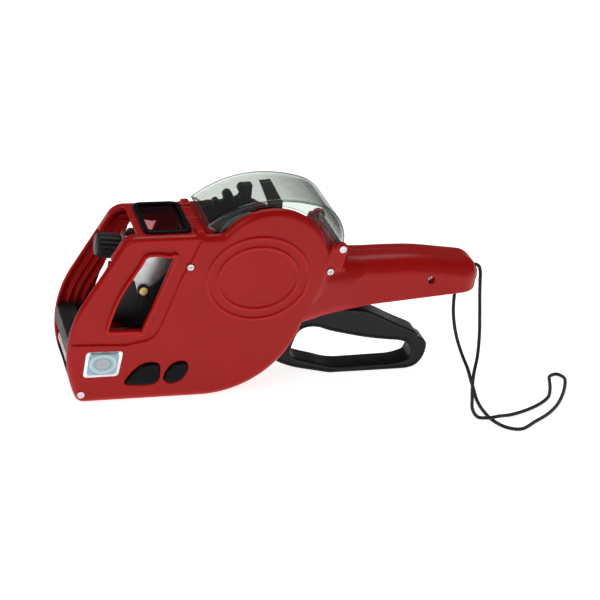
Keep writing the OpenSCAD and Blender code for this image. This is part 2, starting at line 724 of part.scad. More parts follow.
module selector_knob() {
    grip_r = 6.6;
    color(black) lifted() difference() {
        union() {
            translate([knob_x[0], 0, selector_z]) rotate([0, 90, 0]) rotate_extrude()
                polygon([[0, 0], [5.2, 0], [5.9, 0.5], [6.3, 1.6], [grip_r - 0.5, 2.2], [grip_r - 0.5, 12],
                    [grip_r - 1.2, 13], [3.4, 13.5], [3.4, 14.5], [0, 14.5]]);
            for (a = [0:20:340]) translate([knob_x[0] + 2, 0, selector_z]) rotate([a, 0, 0])
                translate([0, grip_r - 0.9, 0]) rotate([0, 90, 0]) cylinder(r = 0.75, h = 9.6, $fn = 16);
        }
        rod_x(0, selector_z, 2, knob_x[0] + 3, knob_x[1] + 5);
    }
}

module pointer_carriage() {
    x1 = column_x(0) + gear_w / 2 + 0.15;
    color(red) lifted() difference() {
        union() {
            rod_x(0, selector_z, 3.6, x1, x1 + 1.4);
            block(x1, x1 + 1.4, 0, 7.4, selector_z + 0.8, selector_z + 4.4);
            block(x1, x1 + 1.4, -1, 3, selector_z + 2, selector_z + 7.4);
        }
        rod_x(0, selector_z, 2 + run, -90, -50);
        rod_x(5.5, selector_z + 2.6, 1 + run, -90, -50);
    }
}

module pointer_guide_rod() {
    color(steel) lifted() rod_x(5.5, selector_z + 2.6, 1, bracket[0] + 0.1, bracket[1] - 0.1);
}

// ================= inking =================

module ink_arm() {
    color(black) {
        difference() {
            both_sides(14, 15.2) {
                polygon([[-64, 52], [-63, 48], [-76.2, 31.5], [-75.4, 28.4], [-70.8, 28], [-57, 48], [-56, 52]]);
                translate(ink_pivot) circle(r = 4);
                translate(ink_roller_at) circle(r = 2.6);
            }
            rod_y(ink_pivot, axle_r + run, -20, 20);
        }
        rod_y(ink_roller_at, 1.2, -14.2, 14.2);
    }
}

module ink_roller() {
    color(black) difference() {
        rod_y(ink_roller_at, 3, -10, 10);
        rod_y(ink_roller_at, 1.2 + run, -12, 12);
    }
}

// ================= platen and nose =================

module platen() {
    color(steel) {
        slab(-17, 17) polygon([[-96.6, 20.8], [-96, 22.2], [-64, 22.2], [-62.6, 21.4], [-62.6, 20], [-64, 20.8],
            [-95.4, 20.8], [-93.4, 18.4], [-94.4, 17.8]]);
        both_sides(16, 17) polygon([[-95, 14], [-66, 14], [-64, 21], [-95, 21]]);
        both_sides(16.5, inner_w - 0.02) polygon([[-92, 14], [-88, 14], [-88, 15.2], [-92, 15.2]]);
    }
}

module platen_pad() {
    color(black) block(-88, -68, -7, 7, 22.2, 22.7);
}

module nose_guard() {
    lip_r = nose_r - 0.3;
    color(black) {
        slab(-rim_w + gap, rim_w - gap) polygon(concat(
            arc(nose, lip_r, 194.2, 198.7, 4), arc(nose, lip_r - 3, 198.7, 194.2, 4)));
        slab(-rim_w + gap, rim_w - gap)
            polygon(concat(arc(nose, lip_r, 171, 179.4, 4), [[-107, 27.4], [-102.4, 33], [-102.6, 37]]));
        difference() {
            both_sides(rim_w - 0.8, inner_w - 0.02) polygon(concat(
                arc(nose, nose_r - wall - 0.1, 170, 197, 8), [[-97, 11], [-97.6, 36]]));
            rod_y(roller_centre, axle_r, -30, 30);
        }
    }
}

module applicator_roller() {
    color([0.85, 0.85, 0.86]) difference() {
        union() {
            rod_y(roller_centre, 6, -17, 17);
            for (k = [0:8]) rod_y(roller_centre, 6.5, -16.6 + 3.8 * k, -14 + 3.8 * k);
        }
        rod_y(roller_centre, axle_r + run, -20, 20);
    }
}

module applicator_axle() {
    color(steel) rod_y(roller_centre, axle_r, -inner_w + 0.1, inner_w - 0.1);
}

// ================= feed =================

module feed_wheel() {
    color(black) difference() {
        union() {
            rod_y(feed_centre, 8, -9, 9);
            for (a = [0:45:315], y = [-5, 5]) translate([feed_centre[0], y, feed_centre[1]]) rotate([0, a, 0])
                translate([0, 0, 7]) cylinder(r = 1, h = 2);
        }
        rod_y(feed_centre, feed_shaft_r, -20, 20);
    }
}

ratchet_teeth = 12;
module ratchet_wheel() {
    step = 360 / ratchet_teeth;
    color(steel) difference() {
        slab(10, 12) translate(feed_centre) polygon([for (i = [0:ratchet_teeth - 1], s = [[0, 7.6], [0.12, 6.2]])
            let (a = (i + s[0]) * step) [s[1] * cos(a), s[1] * sin(a)]]);
        rod_y(feed_centre, feed_shaft_r, 9, 13);
    }
}

module feed_shaft() {
    color(steel) rod_y(feed_centre, feed_shaft_r, -inner_w + 0.2, inner_w - 0.2);
}

pawl_pivot = [feed_centre[0] + 11 * cos(125), feed_centre[1] + 11 * sin(125)];

module feed_rocker() {
    color(steel) {
        difference() {
            slab(12.6, 13.8) {
                translate(feed_centre) circle(r = 4);
                translate(feed_centre) rotate(125) translate([0, -3]) square([11, 6]);
                translate(pawl_pivot) circle(r = 3);
            }
            rod_y(feed_centre, feed_shaft_r + run, 10, 16);
        }
        rod_y(pawl_pivot, 1.2, 10, 12.7);
    }
}

module feed_pawl() {
    tip = [feed_centre[0] + 8.1 * cos(88), feed_centre[1] + 8.1 * sin(88)];
    color(steel) difference() {
        slab(10.2, 11.8) {
            translate(pawl_pivot) circle(r = 2.6);
            polygon([pawl_pivot + [0, 2.4], tip + [0.6, 1.4], tip, pawl_pivot + [1.6, -1.6]]);
        }
        rod_y(pawl_pivot, 1.2 + run, 9, 13);
    }
}

// ================= base =================

module base_cover() {
    color(black) difference() {
        union() {
            rod_y(base_hinge, 3.2, -19, 19);
            slab(-19, 19) polygon([[-105.3, 2.3], [-103.3, 0.4], [-102, 0], [-47, 0], [-47, 2.2], [-100, 2.2],
                [-103, 6]]);
            both_sides(16.4, 18) polygon([[-100, 1], [-98, 8], [-70, 9], [-64, 12.6], [-54, 12.6], [-50, 1]]);
            for (x = [-94:8:-54]) block(x, x + 1.2, -17, 17, 1, 3.6);
        }
        rod_y(base_hinge, axle_r + run, -30, 30);
        rod_y(paper_roller_at, axle_r + run, -30, 30);
    }
}

module base_hinge_pin() {
    color(steel) {
        rod_y(base_hinge, axle_r, -half_w + 0.4, half_w - 0.4);
        rod_y(base_hinge, 1.9, -half_w - 0.2, -half_w + 0.6);
        rod_y(base_hinge, 1.9, half_w - 0.6, half_w + 0.2);
    }
}

module paper_roller() {
    color(grey) {
        rod_y(paper_roller_at, 4, -15.8, 15.8);
        rod_y(paper_roller_at, axle_r, -18, 18);
    }
}

// A push button: its cap stands out of the wall and a flange behind the wall keeps it in.
module button(outline, r) {
    color(black) {
        slab(-half_w - 0.9, -inner_w + 1.2) rounded(outline, r, 0);
        slab(-inner_w + 0.2, -inner_w + 1.4) rounded(outline, r, 1.1);
    }
}

module release_button_left() { button(button_outline, 3); }
module release_button_right() { mirror([0, 1, 0]) button(button_outline, 3); }
module base_latch_left() { button(latch_outline, 1.5); }
module base_latch_right() { mirror([0, 1, 0]) button(latch_outline, 1.5); }

// ================= wrist cord =================

module cord_post() {
    color(steel) rod_y(cord_post_at, 1.2, -9.7, 9.7);
}

module wrist_cord() {
    color(black) tube(smooth_path(cord_route, 2), cord_d / 2, 8, [0, 1, 0]);
}

left_shell();
right_shell();
shell_screws();
foil_sticker();
view_bezel();
view_lens();
label_cover();
cover_hinge_pin();
roll_shaft();
roll_hub();
roll_brake_comb();
roll_tension_arm();
hand_lever();
lever_pivot_pin();
drive_pin();
return_spring();
head_arm();
head_pivot_pin();
head_bracket();
bracket_rivets();
head_housing();
band_axle();
band_wheel_1();
band_wheel_2();
band_wheel_3();
band_wheel_4();
band_wheel_5();
band_wheel_6();
digit_bands();
type_anvil();
detent_spring();
selector_shaft();
selector_pinion();
selector_knob();
pointer_carriage();
pointer_guide_rod();
ink_arm();
ink_roller();
platen();
platen_pad();
nose_guard();
applicator_roller();
applicator_axle();
feed_wheel();
ratchet_wheel();
feed_shaft();
feed_rocker();
feed_pawl();
base_cover();
base_hinge_pin();
paper_roller();
release_button_left();
release_button_right();
base_latch_left();
base_latch_right();
cord_post();
wrist_cord();
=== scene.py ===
"""Looks of a single-line price labelling gun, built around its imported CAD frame."""
import itertools
import math

import bmesh
import bpy
import numpy as np
from mathutils import Matrix, Vector


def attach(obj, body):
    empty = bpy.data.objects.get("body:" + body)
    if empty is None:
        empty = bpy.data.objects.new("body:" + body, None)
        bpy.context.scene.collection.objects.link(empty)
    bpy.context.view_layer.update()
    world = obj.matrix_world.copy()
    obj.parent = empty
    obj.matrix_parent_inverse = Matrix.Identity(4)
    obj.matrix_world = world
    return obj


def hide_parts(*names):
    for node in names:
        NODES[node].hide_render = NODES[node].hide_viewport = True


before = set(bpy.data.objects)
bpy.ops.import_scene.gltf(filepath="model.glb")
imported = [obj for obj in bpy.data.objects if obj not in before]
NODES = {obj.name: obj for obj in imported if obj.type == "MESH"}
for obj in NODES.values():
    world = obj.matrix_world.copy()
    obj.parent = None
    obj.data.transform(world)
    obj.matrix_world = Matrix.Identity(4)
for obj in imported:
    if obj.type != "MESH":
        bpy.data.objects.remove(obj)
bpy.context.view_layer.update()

MM = 0.001

# ---------------------------------------------------------------- camera, floor and light

CAMERA_TURNS = (-17.106, 25.707, 4.857)  # azimuth, elevation and roll, in degrees
CAMERA_AIM = (0.015766, 0, 0.041972)     # a metre in front of the camera
CAMERA_LENS = 111.97
WORLD_STRENGTH = 0.1
FLOOR_GLOW = 0.86
FLOOR_HALF = 4.0
FLOOR_DROP = 0.00005                     # keeps the floor off the undersides of the pieces
STUDIO_AIM = (0.0, 0.0, 0.05)
STUDIO_LIGHTS = {                        # place, size, power
    "key": ((-0.75, -0.75, 0.9), (0.6, 0.5), 2.5),
    "top": ((0.1, 0.35, 1.1), (0.8, 0.5), 5),
    "fill": ((0.9, -0.9, 0.45), (0.8, 0.8), 0.6),
}


def make_camera():
    azimuth, elevation, roll = (math.radians(a) for a in CAMERA_TURNS)
    back = Vector((math.sin(azimuth) * math.cos(elevation),
                   -math.cos(azimuth) * math.cos(elevation), math.sin(elevation)))
    right = Vector((math.cos(azimuth), math.sin(azimuth), 0))
    up = back.cross(right)
    side = right * math.cos(roll) + up * math.sin(roll)
    top = up * math.cos(roll) - right * math.sin(roll)
    data = bpy.data.cameras.new("camera")
    data.lens = CAMERA_LENS
    data.sensor_width = 36
    camera = bpy.data.objects.new("camera", data)
    bpy.context.scene.collection.objects.link(camera)
    place = Matrix((side, top, back)).transposed().to_4x4()
    place.translation = Vector(CAMERA_AIM) + back
    camera.matrix_world = place
    bpy.context.scene.camera = camera


def area_light(name, at, size, power):
    data = bpy.data.lights.new(name, "AREA")
    data.shape = "RECTANGLE"
    data.size, data.size_y = size
    data.energy = power
    light = bpy.data.objects.new(name, data)
    light.location = at
    light.rotation_euler = (Vector(STUDIO_AIM) - Vector(at)).to_track_quat("-Z", "Y").to_euler()
    bpy.context.scene.collection.objects.link(light)


def make_studio():
    scene = bpy.context.scene
    scene.view_settings.view_transform = "Standard"
    world = bpy.data.worlds.new("studio")
    world.use_nodes = True
    world.node_tree.nodes["Background"].inputs["Color"].default_value = (0.93, 0.95, 1, 1)
    world.node_tree.nodes["Background"].inputs["Strength"].default_value = WORLD_STRENGTH
    scene.world = world
    for name, (at, size, power) in STUDIO_LIGHTS.items():
        area_light(name, at, size, power)
    floor = bpy.data.meshes.new("floor")
    r = FLOOR_HALF
    floor.from_pydata([(-r, -r, 0), (r, -r, 0), (r, r, 0), (-r, r, 0)], [], [(0, 1, 2, 3)])
    plane = bpy.data.objects.new("floor", floor)
    plane.location.z = -FLOOR_DROP
    scene.collection.objects.link(plane)
    paper = bpy.data.materials.new("paper")
    paper.use_nodes = True
    shader = paper.node_tree.nodes["Principled BSDF"]
    shader.inputs["Base Color"].default_value = (0.9, 0.9, 0.9, 1)
    shader.inputs["Roughness"].default_value = 0.9
    shader.inputs["Emission Color"].default_value = (1, 1, 1, 1)
    shader.inputs["Emission Strength"].default_value = FLOOR_GLOW
    floor.materials.append(paper)


# ---------------------------------------------------------------- materials


class Nodes:
    """A material's node tree with short ways to add to it."""

    def __init__(self, name):
        self.material = bpy.data.materials.new(name)
        self.material.use_nodes = True
        self.tree = self.material.node_tree
        self.shader = self.tree.nodes["Principled BSDF"]
        self.place = self.add("ShaderNodeTexCoord").outputs["Object"]

    def add(self, kind, **values):
        node = self.tree.nodes.new(kind)
        for key, value in values.items():
            setattr(node, key, value)
        return node

    def link(self, a, b):
        self.tree.links.new(a, b)

    def noise(self, scale, detail=4, rough=0.55, stretch=None, distortion=0):
        node = self.add("ShaderNodeTexNoise")
        node.inputs["Scale"].default_value = scale
        node.inputs["Detail"].default_value = detail
        node.inputs["Roughness"].default_value = rough
        node.inputs["Distortion"].default_value = distortion
        place = self.place
        if stretch:
            mapping = self.add("ShaderNodeMapping")
            mapping.inputs["Scale"].default_value = stretch
            self.link(place, mapping.inputs["Vector"])
            place = mapping.outputs["Vector"]
        self.link(place, node.inputs["Vector"])
        return node.outputs["Fac"]

    def ramp(self, source, stops):
        """Maps a value onto colours; stops are (position, colour)."""
        node = self.add("ShaderNodeValToRGB")
        ramp = node.color_ramp
        while len(ramp.elements) < len(stops):
            ramp.elements.new(0.5)
        for element, (position, color) in zip(ramp.elements, stops):
            element.position = position
            element.color = (*color, 1)
        self.link(source, node.inputs["Fac"])
        return node.outputs["Color"]

    def span(self, source, low, high, start=0.3, end=0.7):
        node = self.add("ShaderNodeMapRange")
        node.inputs["From Min"].default_value = start
        node.inputs["From Max"].default_value = end
        node.inputs["To Min"].default_value = low
        node.inputs["To Max"].default_value = high
        self.link(source, node.inputs["Value"])
        return node.outputs["Result"]

    def mix(self, factor, a, b):
        node = self.add("ShaderNodeMix", data_type="RGBA")
        for value, socket in ((factor, node.inputs[0]), (a, node.inputs[6]), (b, node.inputs[7])):
            if isinstance(value, bpy.types.NodeSocket):
                self.link(value, socket)
            else:
                socket.default_value = (*value, 1) if isinstance(value, tuple) else value
        return node.outputs[2]

    def edges(self):
        """1 on outward edges, from the mesh's own curvature."""
        return self.span(self.add("ShaderNodeNewGeometry").outputs["Pointiness"], 0, 1, 0.515, 0.56)

    def bump(self, source, distance, strength=1.0, under=None):
        node = self.add("ShaderNodeBump")
        node.inputs["Distance"].default_value = distance
        node.inputs["Strength"].default_value = strength
        self.link(source, node.inputs["Height"])
        if under:
            self.link(under, node.inputs["Normal"])
        return node.outputs["Normal"]

    def set(self, **values):
        for key, value in values.items():
            socket = self.shader.inputs[key.replace("_", " ")]
            if isinstance(value, bpy.types.NodeSocket):
                self.link(value, socket)
            else:
                socket.default_value = (*value, 1) if isinstance(value, tuple) else value


def shade(color, k):
    return tuple(min(1.0, c * k) for c in color)


def plastic(name, color, rough, grain=0.00002, coat=0.0, wear=1.25, shine=0.2):
    """Moulded plastic: slow colour drift, handling marks in the gloss, a fine grain and paler edges."""
    m = Nodes(name)
    drift = m.ramp(m.noise(28, 3), [(0.3, shade(color, 0.92)), (0.7, shade(color, 1.07))])
    specks = m.ramp(m.noise(900, 2), [(0.35, shade(color, 0.85)), (0.65, shade(color, 1.12))])
    m.set(Base_Color=m.mix(m.edges(), m.mix(0.15, drift, specks), shade(color, wear)))
    smears = m.noise(60, 6, 0.7, (1, 1, 2.4), 0.6)
    m.set(Roughness=m.span(smears, rough * 0.86, rough * 1.2))
    grainy = m.bump(m.noise(2600, 2), grain, 0.6)
    m.set(Normal=m.bump(m.noise(45, 2), grain * 4, 0.4, grainy))
    m.set(Coat_Weight=coat, Coat_Roughness=0.1, Specular_IOR_Level=shine)
    return m.material


def metal(name, color, rough, stretch=(1, 14, 1)):
    """Plated or brushed sheet metal with a drawn grain and dull patches."""
    m = Nodes(name)
    streaks = m.noise(500, 4, 0.6, stretch)
    tone = m.ramp(streaks, [(0.3, shade(color, 0.82)), (0.7, shade(color, 1.08))])
    stains = m.noise(90, 5, 0.6, None, 0.4)
    m.set(Base_Color=m.mix(m.span(stains, 0, 0.35, 0.5, 0.75), tone, shade(color, 0.55)))
    m.set(Metallic=1.0, Roughness=m.span(stains, rough * 0.7, rough * 1.5))
    m.set(Normal=m.bump(streaks, 0.00002, 0.4))
    return m.material


def clear(name, tint, gloss, through):
    """Clear sheet: mostly see-through, darker and glossier at grazing angles, with faint scuffs."""
    m = Nodes(name)
    scuffs = m.noise(240, 6, 0.75, (1, 3, 1), 1.2)
    m.set(Base_Color=m.ramp(scuffs, [(0.35, shade(gloss, 0.8)), (0.7, gloss)]))
    m.set(Roughness=m.span(scuffs, 0.05, 0.16), Metallic=0.85)
    m.set(Normal=m.bump(m.noise(35, 2), 0.0002, 0.25), IOR=1.5)
    facing = m.add("ShaderNodeLayerWeight")
    facing.inputs["Blend"].default_value = 0.5
    glass = m.add("ShaderNodeBsdfTransparent")
    fading = [(0.0, tint), (0.62, shade(tint, 0.86)), (0.86, shade(tint, 0.3)), (1.0, shade(tint, 0.08))]
    m.link(m.ramp(facing.outputs["Facing"], fading), glass.inputs["Color"])
    join = m.add("ShaderNodeMixShader")
    m.link(m.span(facing.outputs["Facing"], through, 0.5, 0.5, 1.0), join.inputs["Fac"])
    m.link(glass.outputs["BSDF"], join.inputs[1])
    m.link(m.shader.outputs["BSDF"], join.inputs[2])
    m.link(join.outputs["Shader"], m.tree.nodes["Material Output"].inputs["Surface"])
    return m.material


def felt(name, color):
    """Matted fibres, rough and a little fuzzy."""
    m = Nodes(name)
    fibres = m.noise(1400, 5, 0.8, None, 1.5)
    m.set(Base_Color=m.ramp(fibres, [(0.3, shade(color, 0.5)), (0.7, shade(color, 1.6))]))
    m.set(Roughness=m.span(fibres, 0.75, 1.0), Sheen_Weight=0.25)
    m.set(Normal=m.bump(fibres, 0.0002, 0.8))
    return m.material


PRINT_AT = (-94.4, 22.8)  # middle of the sticker's print, in X and Z
PRINT_SCALE = (90, 120)   # one over the print's half width and half height, in metres


def foil_print(name):
    """The printed middle of the foil sticker: fine rings round an oval, of no particular design."""
    m = Nodes(name)
    mapping = m.add("ShaderNodeMapping", vector_type="POINT")
    (x, z), (wide, high) = PRINT_AT, PRINT_SCALE
    mapping.inputs["Location"].default_value = (-x * MM * wide, 0, -z * MM * high)
    mapping.inputs["Scale"].default_value = (wide, 0, high)
    m.link(m.place, mapping.inputs["Vector"])
    oval = m.add("ShaderNodeTexGradient", gradient_type="SPHERICAL")
    m.link(mapping.outputs["Vector"], oval.inputs["Vector"])
    wave = m.add("ShaderNodeTexWave", wave_type="RINGS", rings_direction="SPHERICAL")
    wave.inputs["Scale"].default_value = 3.2
    wave.inputs["Distortion"].default_value = 1.5
    m.link(mapping.outputs["Vector"], wave.inputs["Vector"])
    tone = m.ramp(oval.outputs["Fac"], [
        (0.0, (0.34, 0.5, 0.6)), (0.3, (0.2, 0.36, 0.44)), (0.42, (0.55, 0.68, 0.74)),
        (0.62, (0.16, 0.3, 0.36)), (0.74, (0.42, 0.44, 0.46)), (1.0, (0.3, 0.3, 0.33))])
    m.set(Base_Color=m.mix(m.span(wave.outputs["Fac"], 0.0, 0.5, 0.35, 0.75), tone, (0.66, 0.78, 0.84)))
    m.set(Metallic=0.4, Roughness=m.span(m.noise(300, 3), 0.25, 0.45))
    m.set(Normal=m.bump(wave.outputs["Fac"], 0.00003, 0.4))
    return m.material


RED = (0.45, 0.005, 0.004)
BLACK = (0.012, 0.012, 0.014)
MAT = {}


def make_materials():
    MAT["red"] = plastic("red_abs", RED, 0.32, 0.000012, 0.05, 1.35)
    MAT["pointer_red"] = plastic("pointer_red", (0.6, 0.03, 0.02), 0.35)
    MAT["black"] = plastic("lever_black", BLACK, 0.4, 0.00003, 0.0, 1.8)
    MAT["gloss_black"] = plastic("trim_black", (0.003, 0.003, 0.004), 0.2, 0.000008, 0.0, 3.5, 0.1)
    MAT["knob"] = plastic("knob_black", (0.014, 0.014, 0.015), 0.42, 0.00003, 0.0, 3.5)
    MAT["inner"] = plastic("inner_black", (0.02, 0.02, 0.021), 0.5, 0.00004, 0.0, 2.0)
    MAT["grey"] = plastic("grey_plastic", (0.42, 0.42, 0.41), 0.4, 0.00003, 0.0, 1.2)
    MAT["roller"] = plastic("roller_rubber", (0.72, 0.66, 0.65), 0.45, 0.00003, 0.0, 1.1)
    MAT["rubber"] = plastic("rubber_black", (0.02, 0.02, 0.02), 0.75, 0.00006, 0.0, 1.6)
    MAT["steel"] = metal("plated_steel", (0.72, 0.72, 0.74), 0.26)
    MAT["bracket"] = metal("bracket_steel", (0.62, 0.63, 0.65), 0.34, (14, 1, 1))
    MAT["brass"] = metal("brass", (0.78, 0.55, 0.2), 0.28)
    MAT["silver"] = metal("foil", (0.78, 0.84, 0.88), 0.2, (1, 1, 1))
    MAT["print"] = foil_print("foil_print")
    MAT["clear"] = clear("clear_plastic", (0.93, 0.95, 0.93), (0.78, 0.8, 0.79), 0.02)
    # a darker copy of the clear sheet: painted shade for the dark lines that refraction draws on the cover's
    # shoulders
    MAT["clear_edge_painted_shade"] = clear("clear_edge_painted_shade", (0.5, 0.55, 0.52), (0.7, 0.74, 0.72), 0.12)
    MAT["smoked"] = clear("smoked_plastic", (0.86, 0.5, 0.53), (0.22, 0.04, 0.05), 0.14)
    MAT["felt"] = felt("ink_felt", (0.012, 0.01, 0.02))
    MAT["cord"] = felt("cord", (0.008, 0.008, 0.009))


# ---------------------------------------------------------------- shapes as distance fields


class Field:
    """A grid of points in millimetres, with flat outlines measured in X and Z."""

    def __init__(self, low, high, step):
        step = step if isinstance(step, tuple) else (step,) * 3
        self.low, self.step = np.array(low, float), np.array(step, float)
        axes = [np.arange(a, b + s, s, dtype=np.float32) for a, b, s in zip(low, high, step)]
        self.x, self.y, self.z = (axes[0][:, None, None], axes[1][None, :, None], axes[2][None, None, :])

    def outline(self, points):
        """Signed distance to a closed outline drawn in X and Z."""
        u, v = self.x, self.z
        best, inside = None, False
        for (ax, az), (bx, bz) in zip(points, points[1:] + points[:1]):
            ex, ez = bx - ax, bz - az
            if ex * ex + ez * ez < 1e-12:
                continue
            wx, wz = u - ax, v - az
            t = np.clip((wx * ex + wz * ez) / (ex * ex + ez * ez), 0, 1)
            d = (wx - ex * t) ** 2 + (wz - ez * t) ** 2
            best = d if best is None else np.minimum(best, d)
            if ez != 0:
                inside = inside ^ (((v >= az) != (v >= bz)) & (wx < ex * wz / ez))
        return np.where(inside, -np.sqrt(best), np.sqrt(best)).astype(np.float32)

    def disc(self, at, r):
        """Signed distance to a circle drawn in X and Z."""
        return np.hypot(self.x - at[0], self.z - at[1]) - r


def band(v, low, high):
    """Signed distance to the layer between two values."""
    return np.maximum(low - v, v - high)


def plate(flat, through, r=0.0):
    """A flat outline carried through a thickness, with its edges rounded to r."""
    a, b = flat + r, through + r
    return np.minimum(np.maximum(a, b), 0) + np.hypot(np.maximum(a, 0), np.maximum(b, 0)) - r


def join(a, b, k=0.0):
    """The union of two shapes, with a fillet of about k between them."""
    if not k:
        return np.minimum(a, b)
    h = np.clip(0.5 + 0.5 * (b - a) / k, 0, 1)
    return b + (a - b) * h - k * h * (1 - h)


def cut(a, b, k=0.0):
    """Shape a without shape b, with the edges eased by about k."""
    return -join(-a, b, k)


CORNERS = list(itertools.product((0, 1), repeat=3))


def cell_points(f):
    """The cells that the zero level of f crosses, and a point in each, amid its crossed edges."""
    inside = f < 0
    n = np.array(f.shape)
    near = np.zeros(n - 1, np.uint8)
    for i, j, k in CORNERS:
        near += inside[i:n[0] - 1 + i, j:n[1] - 1 + j, k:n[2] - 1 + k]
    cells = np.argwhere((near > 0) & (near < 8))
    total, count = np.zeros((len(cells), 3)), np.zeros(len(cells))
    for axis in range(3):
        along = np.eye(3, dtype=int)[axis]
        for a, b in itertools.product((0, 1), repeat=2):
            start = np.insert([a, b], axis, 0)
            f0, f1 = f[tuple((cells + start).T)], f[tuple((cells + start + along).T)]
            crossed = (f0 < 0) != (f1 < 0)
            t = np.where(crossed, f0 / np.where(crossed, f0 - f1, 1), 0)
            total[crossed] += (start + t[:, None] * along)[crossed]
            count += crossed
    return cells, cells + total / count[:, None]


def cell_faces(f, cells):
    """A face round each grid edge that the zero level of f crosses, between the points of its four cells."""
    inside = f < 0
    n = np.array(f.shape)
    index = np.full(n - 1, -1, np.int64)
    index[tuple(cells.T)] = np.arange(len(cells))
    faces = []
    for axis in range(3):
        u, v = [np.eye(3, dtype=int)[k] for k in ((axis + 1) % 3, (axis + 2) % 3)]
        a = np.take(inside, range(0, n[axis] - 1), axis=axis)
        b = np.take(inside, range(1, n[axis]), axis=axis)
        for first, flip in ((a & ~b, False), (b & ~a, True)):
            e = np.argwhere(first)
            e = e[((e - u - v) >= 0).all(1) & (e < n - 1).all(1)]
            quad = np.stack([index[tuple((e - s).T)] for s in (0 * u, u, u + v, v)], axis=1)
            quad = quad[(quad >= 0).all(1)]
            faces.append(quad[:, ::-1] if flip else quad)
    return np.concatenate(faces)


def sample(values, place):
    """A grid's values at places between its points."""
    base = np.clip(np.floor(place).astype(int), 0, np.array(values.shape) - 2)
    part = place - base
    out = 0
    for c in CORNERS:
        weight = np.prod(np.where(c, part, 1 - part), axis=1)
        out = out + weight * values[tuple((base + c).T)]
    return out


def surface(name, field, f, material, body, stands_for, mirror=False):
    """Meshes the zero level of f with one vertex a cell, drawn onto the level, and its slope as normals."""
    cells, place = cell_points(f)
    slope = [np.gradient(f, field.step[a], axis=a) for a in range(3)]
    for _ in range(2):
        g = np.stack([sample(s, place) for s in slope], axis=1)
        size = np.maximum((g ** 2).sum(1), 0.3)
        move = -(sample(f, place) / size)[:, None] * g / field.step
        place = place + np.clip(move, -0.3, 0.3)
    g = np.stack([sample(s, place) for s in slope], axis=1)
    g /= np.maximum(np.linalg.norm(g, axis=1), 1e-9)[:, None]
    points = (field.low + place * field.step) * MM
    faces = cell_faces(f, cells)
    if mirror:
        points[:, 1] *= -1
        g[:, 1] *= -1
        faces = faces[:, ::-1]
    mesh = bpy.data.meshes.new(name)
    mesh.vertices.add(len(points))
    mesh.vertices.foreach_set("co", points.astype(np.float32).ravel())
    mesh.loops.add(faces.size)
    mesh.loops.foreach_set("vertex_index", faces.astype(np.int32).ravel())
    mesh.polygons.add(len(faces))
    mesh.polygons.foreach_set("loop_start", np.arange(0, faces.size, 4, dtype=np.int32))
    mesh.update(calc_edges=True)
    mesh.polygons.foreach_set("use_smooth", np.ones(len(faces), bool))
    mesh.normals_split_custom_set_from_vertices(g)
    mesh.materials.append(MAT[material])
    settle(bpy.data.objects.new(name, mesh), body, stands_for)


def settle(piece, body, stands_for):
    """Puts a piece in the scene, on its body, in place of its CAD nodes."""
    bpy.context.scene.collection.objects.link(piece)
    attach(piece, body)
    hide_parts(*stands_for)


# ---------------------------------------------------------------- outlines, in millimetres


def arc(centre, r, a0, a1, n):
    """Points on a circle, from one angle to another in n steps."""
    return [(centre[0] + r * math.cos(math.radians(a0 + (a1 - a0) * i / n)),
             centre[1] + r * math.sin(math.radians(a0 + (a1 - a0) * i / n))) for i in range(n + 1)]


def softened(points, n=5, closed=True):
    """A smooth curve through the points."""
    p = [np.array(q, float) for q in points]
    k = len(p)
    out = []
    for i in range(k if closed else k - 1):
        a, b, c, d = (p[j % k] if closed else p[min(max(j, 0), k - 1)] for j in (i - 1, i, i + 1, i + 2))
        for s in range(n):
            t = s / n
            out.append(tuple(0.5 * (2 * b + (c - a) * t + (2 * a - 5 * b + 4 * c - d) * t * t
                                    + (3 * b - a - 3 * c + d) * t ** 3)))
    if not closed:
        out.append(tuple(p[-1]))
    return out


HALF_W = 24.5   # half the width over the shells
INNER_W = 22.3  # half the width between their walls
RIM_W = 20.3    # half the width between the rims of the openings
HANDLE_W = 14   # half the width of the handle
WALL = 2.2
NOSE, NOSE_R = (-54, 27), 59
HUMP, HUMP_R = (-8.5, 73.5), 32
BROW_R, BROW_Z, BROW_TURN = 10, 82.5, 147.6  # radius, height and end of the round over the nose
TOE_R = 5                                    # round between the nose and the base
HEAD_PIVOT, LEVER_PIVOT = (14, 50), (-2, 34)
ROLL, INK, FEED = (-11, 70), (-60, 52), (-36, 13.5)
ROLLER, BASE_HINGE, COVER_HINGE = (-104.8, 19.5), (-105.3, 5.5), (29.2, 82.2)
SHORT_SCREW = (-51, 75.7)
LONG_SCREWS = [(23.4, 69.8), (84.2, 57)]
BEZEL_X, BEZEL_HALF_W = (-74.6, -49.4), 19.4
WINDOW = [(-72.3, 82.2), (-61.6, 81.1), (-60.6, 78.7), (-74.3, 42.8), (-76, 41.6),
          (-89.6, 41.8), (-91.4, 43.6), (-86, 60.2), (-76, 77.1)]
PANEL = [(-44.6, 93.5), (-49.3, 81.8), (-55.2, 70), (-60.7, 53.9), (-65.6, 41), (-68.2, 37),
         (-71.9, 35.1), (-82.8, 33), (-103.4, 34), (-120, 34.4), (-120, 100), (-60, 100)]
LATCH = [(-82, 12.2), (-77.5, 18.2), (-72, 21.6), (-66.2, 21.4), (-64.6, 17.8), (-66.6, 10.4), (-80.5, 10.2)]
BUTTON = [(-61.8, 13), (-59.5, 18.5), (-55.5, 21.3), (-51, 21.2), (-49.8, 17), (-52.5, 12),
          (-56, 10.2), (-60, 10.2)]


